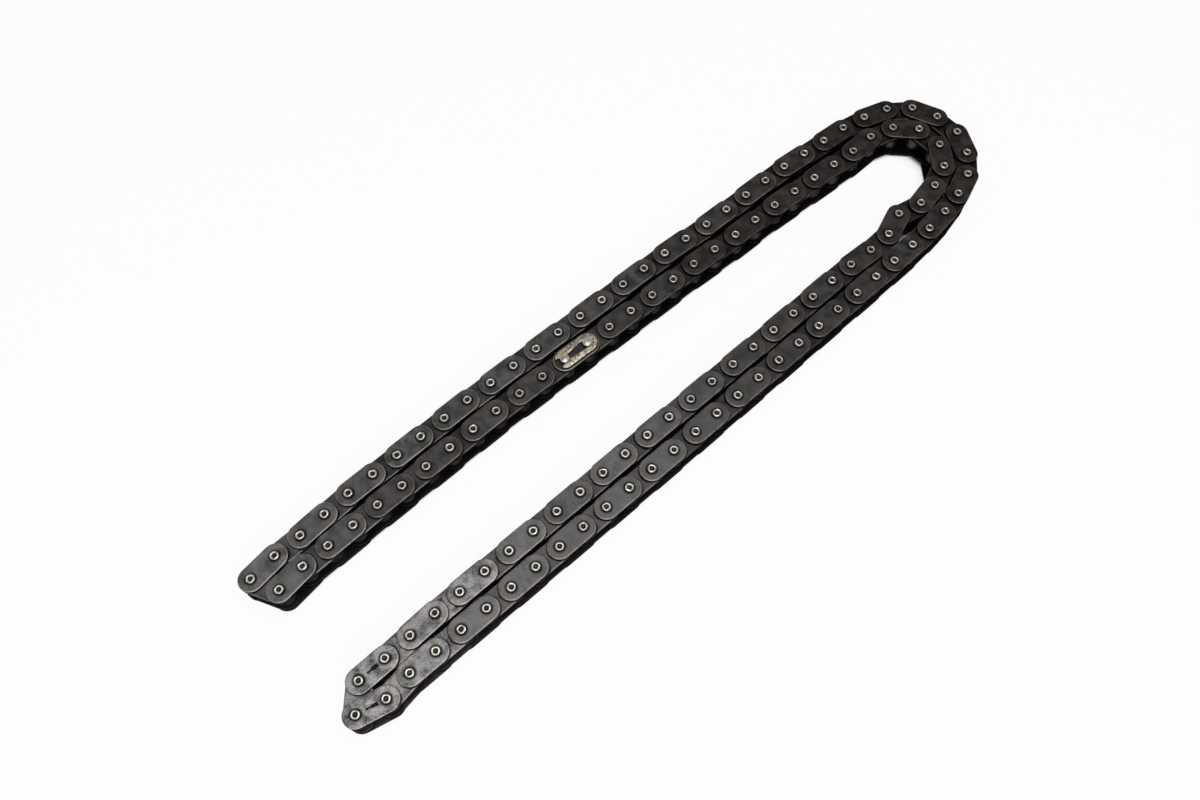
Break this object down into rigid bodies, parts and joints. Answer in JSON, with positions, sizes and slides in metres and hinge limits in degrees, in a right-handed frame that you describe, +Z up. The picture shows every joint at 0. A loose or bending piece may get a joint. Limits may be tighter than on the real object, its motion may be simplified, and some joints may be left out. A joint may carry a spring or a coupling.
{
  "type": "timing chain",
  "caption": "Endless single-strand roller timing chain with straight-sided plates and a spring-clip connecting link, laid flat doubled into a U.",
  "frame": {"origin": "under the middle of the chain's box, on the surface that its pin ends stand on", "axes": "+X to the right and +Y away from the camera as in the picture, +Z up along the pins"},
  "size_m": [0.2456, 0.2254, 0.0132],
  "materials": {
    "outer_plate": "dark oiled blackened steel with bright worn edges",
    "inner_plate": "dark oiled blackened steel",
    "pin": "bright staked pin ends, dark in the dimple",
    "roller": "dark hardened steel, polished where the sprockets bear",
    "spring_clip": "warm grey phosphated spring steel",
    "link_run": "dark oiled blackened steel links with bright pin ends"
  },
  "bodies": {
    "bend": {"outer_bend_outer_plates": "outer_plate", "outer_bend_inner_plates": "inner_plate", "outer_bend_pins": "pin", "outer_bend_bushes": "roller", "outer_bend_rollers": "roller", "inner_bend_outer_plates": "outer_plate", "inner_bend_inner_plates": "inner_plate", "inner_bend_pins": "pin", "inner_bend_bushes": "roller", "inner_bend_rollers": "roller"},
    "left_outer_links_18_22": {"left_outer_links_18_22": "link_run"},
    "left_outer_links_10_17": {"left_outer_links_10_17": "link_run"},
    "left_outer_links_5_9": {"left_outer_links_5_9": "link_run"},
    "left_end": {"left_end_outer_plates": "outer_plate", "left_end_inner_plates": "inner_plate", "left_end_pins": "pin", "left_end_bushes_and_rollers": "roller"},
    "left_inner_links_115_119": {"left_inner_links_115_119": "link_run"},
    "connecting_link": {"connecting_rear_plate": "outer_plate", "connecting_pins": "pin", "connecting_front_plate": "outer_plate", "left_inner_links_112_114": "link_run"},
    "spring_clip": {"spring_clip": "spring_clip"},
    "left_inner_links_102_106": {"left_inner_links_102_106": "link_run"},
    "left_inner_links_107_110": {"left_inner_links_107_110": "link_run"},
    "right_outer_links_42_46": {"right_outer_links_42_46": "link_run"},
    "right_outer_links_47_54": {"right_outer_links_47_54": "link_run"},
    "right_outer_links_55_59": {"right_outer_links_55_59": "link_run"},
    "right_end": {"right_end_outer_plates": "outer_plate", "right_end_inner_plates": "inner_plate", "right_end_pins": "pin", "right_end_bushes_and_rollers": "roller"},
    "right_inner_links_69_73": {"right_inner_links_69_73": "link_run"},
    "right_inner_links_74_81": {"right_inner_links_74_81": "link_run"},
    "right_inner_links_82_86": {"right_inner_links_82_86": "link_run"}
  },
  "joints": [
    {"name": "left_upper_fold", "type": "hinge", "parent": "bend", "child": "left_outer_links_18_22", "pos_m": [0.0378, 0.0698, 0.00612], "axis": [0, 0, 1], "range_deg": [-8, 16]},
    {"name": "left_upper_fold_outer_return", "type": "hinge", "parent": "left_outer_links_18_22", "child": "left_outer_links_10_17", "pos_m": [0.00116, 0.03938, 0.00612], "axis": [0, 0, 1], "range_deg": [-16, 8]},
    {"name": "left_lower_fold", "type": "hinge", "parent": "left_outer_links_10_17", "child": "left_outer_links_5_9", "pos_m": [-0.05678, -0.0101, 0.00612], "axis": [0, 0, 1], "range_deg": [-8, 16]},
    {"name": "left_lower_fold_outer_return", "type": "hinge", "parent": "left_outer_links_5_9", "child": "left_end", "pos_m": [-0.09218, -0.04197, 0.00612], "axis": [0, 0, 1], "range_deg": [-16, 8]},
    {"name": "left_lower_fold_inner_swing", "type": "hinge", "parent": "left_end", "child": "left_inner_links_115_119", "pos_m": [-0.0827, -0.04576, 0.00612], "axis": [0, 0, 1], "range_deg": [-8, 16]},
    {"name": "left_lower_fold_inner_return", "type": "hinge", "parent": "left_inner_links_115_119", "child": "connecting_link", "pos_m": [-0.04731, -0.0139, 0.00612], "axis": [0, 0, 1], "range_deg": [-16, 8]},
    {"name": "clip_slide", "type": "slide", "parent": "connecting_link", "child": "spring_clip", "axis": [0.766, 0.6428, 0], "range_m": [0, 0.003]},
    {"name": "left_upper_fold_inner_swing", "type": "hinge", "parent": "bend", "child": "left_inner_links_102_106", "pos_m": [0.0477, 0.0655, 0.00612], "axis": [0, 0, 1], "range_deg": [-8, 16]},
    {"name": "left_upper_fold_inner_return", "type": "hinge", "parent": "left_inner_links_102_106", "child": "left_inner_links_107_110", "pos_m": [0.01106, 0.03508, 0.00612], "axis": [0, 0, 1], "range_deg": [-16, 8]},
    {"name": "right_upper_fold", "type": "hinge", "parent": "bend", "child": "right_outer_links_42_46", "pos_m": [0.07321, 0.02985, 0.00612], "axis": [0, 0, 1], "range_deg": [-18, 4]},
    {"name": "right_upper_fold_outer_return", "type": "hinge", "parent": "right_outer_links_42_46", "child": "right_outer_links_47_54", "pos_m": [0.03782, -0.00202, 0.00612], "axis": [0, 0, 1], "range_deg": [-4, 18]},
    {"name": "right_lower_fold", "type": "hinge", "parent": "right_outer_links_47_54", "child": "right_outer_links_55_59", "pos_m": [-0.01903, -0.05276, 0.00612], "axis": [0, 0, 1], "range_deg": [-18, 4]},
    {"name": "right_lower_fold_outer_return", "type": "hinge", "parent": "right_outer_links_55_59", "child": "right_end", "pos_m": [-0.0547, -0.08432, 0.00612], "axis": [0, 0, 1], "range_deg": [-4, 18]},
    {"name": "right_lower_fold_inner_swing", "type": "hinge", "parent": "right_end", "child": "right_inner_links_69_73", "pos_m": [-0.05576, -0.07309, 0.00612], "axis": [0, 0, 1], "range_deg": [-18, 4]},
    {"name": "right_lower_fold_inner_return", "type": "hinge", "parent": "right_inner_links_69_73", "child": "right_inner_links_74_81", "pos_m": [-0.02009, -0.04153, 0.00612], "axis": [0, 0, 1], "range_deg": [-4, 18]},
    {"name": "right_upper_fold_inner_swing", "type": "hinge", "parent": "bend", "child": "right_inner_links_82_86", "pos_m": [0.07221, 0.04101, 0.00612], "axis": [0, 0, 1], "range_deg": [-18, 4]}
  ],
  "couplings": [
    {"joint": "left_upper_fold_outer_return", "follows": "left_upper_fold", "ratio": -1},
    {"joint": "left_lower_fold_outer_return", "follows": "left_lower_fold", "ratio": -1},
    {"joint": "left_lower_fold_inner_swing", "follows": "left_lower_fold", "ratio": 1},
    {"joint": "left_lower_fold_inner_return", "follows": "left_lower_fold", "ratio": -1},
    {"joint": "left_upper_fold_inner_swing", "follows": "left_upper_fold", "ratio": 1},
    {"joint": "left_upper_fold_inner_return", "follows": "left_upper_fold", "ratio": -1},
    {"joint": "right_upper_fold_outer_return", "follows": "right_upper_fold", "ratio": -1},
    {"joint": "right_lower_fold_outer_return", "follows": "right_lower_fold", "ratio": -1},
    {"joint": "right_lower_fold_inner_swing", "follows": "right_lower_fold", "ratio": 1},
    {"joint": "right_lower_fold_inner_return", "follows": "right_lower_fold", "ratio": -1},
    {"joint": "right_upper_fold_inner_swing", "follows": "right_upper_fold", "ratio": 1}
  ]
}
